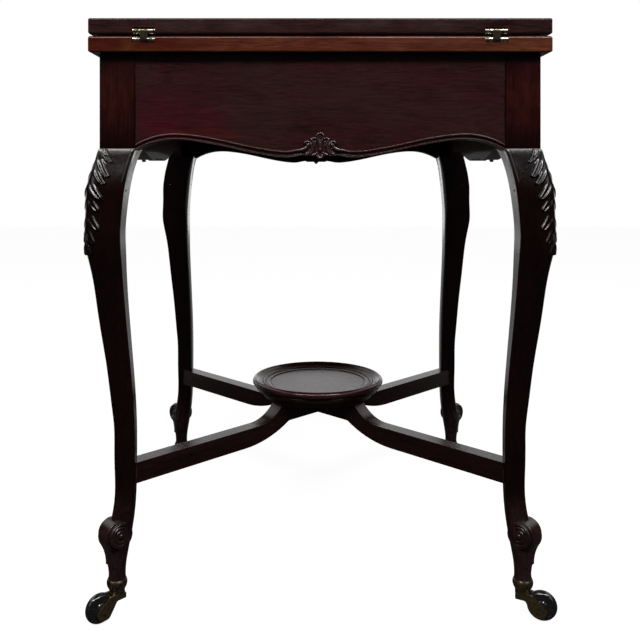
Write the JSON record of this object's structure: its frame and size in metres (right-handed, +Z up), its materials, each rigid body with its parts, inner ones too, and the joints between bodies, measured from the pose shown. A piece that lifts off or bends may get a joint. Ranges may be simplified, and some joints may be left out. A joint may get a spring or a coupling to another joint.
{
  "type": "folding card table",
  "caption": "Envelope card table: a square top turns on its frame and triangular leaves fold out; cabriole legs, crossed stretcher with dish, casters.",
  "frame": {"origin": "middle of the closed table's bounding box, on the floor", "axes": "+Z up, -Y towards the front of the picture, +X to its right"},
  "size_m": [0.5814, 0.5704, 0.737],
  "materials": {
    "mahogany": "polished",
    "top_mahogany": "polished",
    "inner_wood": "matte",
    "baize": "matte",
    "hinge_brass": "aged",
    "caster_brass": "aged",
    "wheel_black": "gloss",
    "pivot_steel": "satin"
  },
  "bodies": {
    "frame": {"apron_back": "mahogany", "apron_front": "mahogany", "apron_left": "mahogany", "apron_right": "mahogany", "apron_shells": "mahogany", "caster_cup_front_left": "caster_brass", "caster_cup_front_right": "caster_brass", "caster_cup_rear_left": "caster_brass", "caster_cup_rear_right": "caster_brass", "corner_blocks": "inner_wood", "dish": "mahogany", "dish_screw": "pivot_steel", "leg_front_left": "mahogany", "leg_front_right": "mahogany", "leg_rear_left": "mahogany", "leg_rear_right": "mahogany", "pivot_rail": "inner_wood", "stretcher_rail_a": "mahogany", "stretcher_rail_b": "mahogany"},
    "top": {"top_board": "top_mahogany", "baize_centre": "baize", "board_hinge_plates": "hinge_brass", "board_hinge_screws": "hinge_brass", "pivot_plate": "pivot_steel", "pivot_washer": "pivot_steel", "pivot_nut": "pivot_steel", "pivot_screws": "pivot_steel", "stop_peg": "inner_wood"},
    "links_front": {"hinge_links_front": "hinge_brass"},
    "leaf_front": {"leaf_front": "top_mahogany", "baize_front": "baize", "leaf_hinges_front": "hinge_brass"},
    "links_right": {"hinge_links_right": "hinge_brass"},
    "leaf_right": {"leaf_right": "top_mahogany", "baize_right": "baize", "leaf_hinges_right": "hinge_brass"},
    "links_back": {"hinge_links_back": "hinge_brass"},
    "leaf_back": {"leaf_back": "top_mahogany", "baize_back": "baize", "leaf_hinges_back": "hinge_brass"},
    "links_left": {"hinge_links_left": "hinge_brass"},
    "leaf_left": {"leaf_left": "top_mahogany", "baize_left": "baize", "leaf_hinges_left": "hinge_brass"},
    "swivel_front_left": {"caster_horn_front_left": "caster_brass", "caster_axle_front_left": "caster_brass"},
    "wheel_front_left": {"caster_wheel_front_left": "wheel_black"},
    "swivel_front_right": {"caster_horn_front_right": "caster_brass", "caster_axle_front_right": "caster_brass"},
    "wheel_front_right": {"caster_wheel_front_right": "wheel_black"},
    "swivel_rear_right": {"caster_horn_rear_right": "caster_brass", "caster_axle_rear_right": "caster_brass"},
    "wheel_rear_right": {"caster_wheel_rear_right": "wheel_black"},
    "swivel_rear_left": {"caster_horn_rear_left": "caster_brass", "caster_axle_rear_left": "caster_brass"},
    "wheel_rear_left": {"caster_wheel_rear_left": "wheel_black"}
  },
  "joints": [
    {"name": "top_turn", "type": "hinge", "parent": "frame", "child": "top", "pos_m": [0, 0, 0.696], "axis": [0, 0, 1], "range_deg": [0, 45]},
    {"name": "link_turn_front", "type": "hinge", "parent": "top", "child": "links_front", "pos_m": [0, -0.2758, 0.7113], "axis": [1, 0, 0], "range_deg": [0, 90]},
    {"name": "leaf_turn_front", "type": "hinge", "parent": "links_front", "child": "leaf_front", "pos_m": [0, -0.2758, 0.7217], "axis": [1, 0, 0], "range_deg": [0, 90]},
    {"name": "link_turn_right", "type": "hinge", "parent": "top", "child": "links_right", "pos_m": [0.2758, 0, 0.7113], "axis": [0, 1, 0], "range_deg": [0, 90]},
    {"name": "leaf_turn_right", "type": "hinge", "parent": "links_right", "child": "leaf_right", "pos_m": [0.2758, 0, 0.7217], "axis": [0, 1, 0], "range_deg": [0, 90]},
    {"name": "link_turn_back", "type": "hinge", "parent": "top", "child": "links_back", "pos_m": [0, 0.2758, 0.7113], "axis": [-1, 0, 0], "range_deg": [0, 90]},
    {"name": "leaf_turn_back", "type": "hinge", "parent": "links_back", "child": "leaf_back", "pos_m": [0, 0.2758, 0.7217], "axis": [-1, 0, 0], "range_deg": [0, 90]},
    {"name": "link_turn_left", "type": "hinge", "parent": "top", "child": "links_left", "pos_m": [-0.2758, 0, 0.7113], "axis": [0, -1, 0], "range_deg": [0, 90]},
    {"name": "leaf_turn_left", "type": "hinge", "parent": "links_left", "child": "leaf_left", "pos_m": [-0.2758, 0, 0.7217], "axis": [0, -1, 0], "range_deg": [0, 90]},
    {"name": "swivel_turn_front_left", "type": "hinge", "parent": "frame", "child": "swivel_front_left", "pos_m": [-0.2516, -0.2516, 0.0182], "axis": [0, 0, 1], "continuous": true},
    {"name": "wheel_spin_front_left", "type": "hinge", "parent": "swivel_front_left", "child": "wheel_front_left", "pos_m": [-0.26948, -0.26608, 0.0182], "axis": [0.6293, -0.7771, 0], "continuous": true},
    {"name": "swivel_turn_front_right", "type": "hinge", "parent": "frame", "child": "swivel_front_right", "pos_m": [0.2516, -0.2516, 0.0182], "axis": [0, 0, 1], "continuous": true},
    {"name": "wheel_spin_front_right", "type": "hinge", "parent": "swivel_front_right", "child": "wheel_front_right", "pos_m": [0.27321, -0.25947, 0.0182], "axis": [0.342, 0.9397, 0], "continuous": true},
    {"name": "swivel_turn_rear_right", "type": "hinge", "parent": "frame", "child": "swivel_rear_right", "pos_m": [0.2516, 0.2516, 0.0182], "axis": [0, 0, 1], "continuous": true},
    {"name": "wheel_spin_rear_right", "type": "hinge", "parent": "swivel_rear_right", "child": "wheel_rear_right", "pos_m": [0.26948, 0.26608, 0.0182], "axis": [-0.6293, 0.7771, 0], "continuous": true},
    {"name": "swivel_turn_rear_left", "type": "hinge", "parent": "frame", "child": "swivel_rear_left", "pos_m": [-0.2516, 0.2516, 0.0182], "axis": [0, 0, 1], "continuous": true},
    {"name": "wheel_spin_rear_left", "type": "hinge", "parent": "swivel_rear_left", "child": "wheel_rear_left", "pos_m": [-0.27321, 0.25947, 0.0182], "axis": [-0.342, -0.9397, 0], "continuous": true}
  ],
  "couplings": [
    {"joint": "link_turn_front", "follows": "leaf_turn_front", "ratio": 1},
    {"joint": "link_turn_right", "follows": "leaf_turn_right", "ratio": 1},
    {"joint": "link_turn_back", "follows": "leaf_turn_back", "ratio": 1},
    {"joint": "link_turn_left", "follows": "leaf_turn_left", "ratio": 1}
  ]
}
